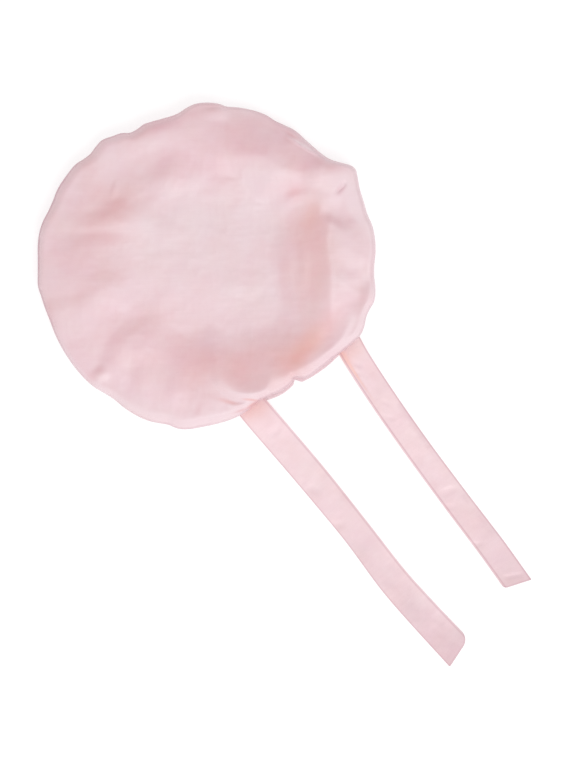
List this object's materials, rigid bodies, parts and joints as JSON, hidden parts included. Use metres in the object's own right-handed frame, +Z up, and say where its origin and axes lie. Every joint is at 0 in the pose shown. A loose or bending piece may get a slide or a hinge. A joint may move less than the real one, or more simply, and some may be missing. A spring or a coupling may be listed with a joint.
{
  "type": "sleep bonnet",
  "caption": "Soft satin sleep bonnet lying opening down: a round puffed crown gathered onto an elastic casing band, with flat ribbon ties spread out from under its rim",
  "frame": {"origin": "The middle of the footprint of the whole piece, crown and spread ties together, on the surface that it lies on", "axes": "+Z is up, out of the top of the crown. Seen from above, the ties run towards +X and -Y, and the crown lies towards -X and +Y"},
  "size_m": [0.4935, 0.564, 0.0369],
  "materials": {
    "crown_satin": "soft satin",
    "band_satin": "soft satin",
    "tie_satin": "soft satin"
  },
  "bodies": {
    "root": {"crown": "crown_satin", "band": "band_satin", "tie_left": "tie_satin", "tie_right": "tie_satin"}
  },
  "joints": []
}
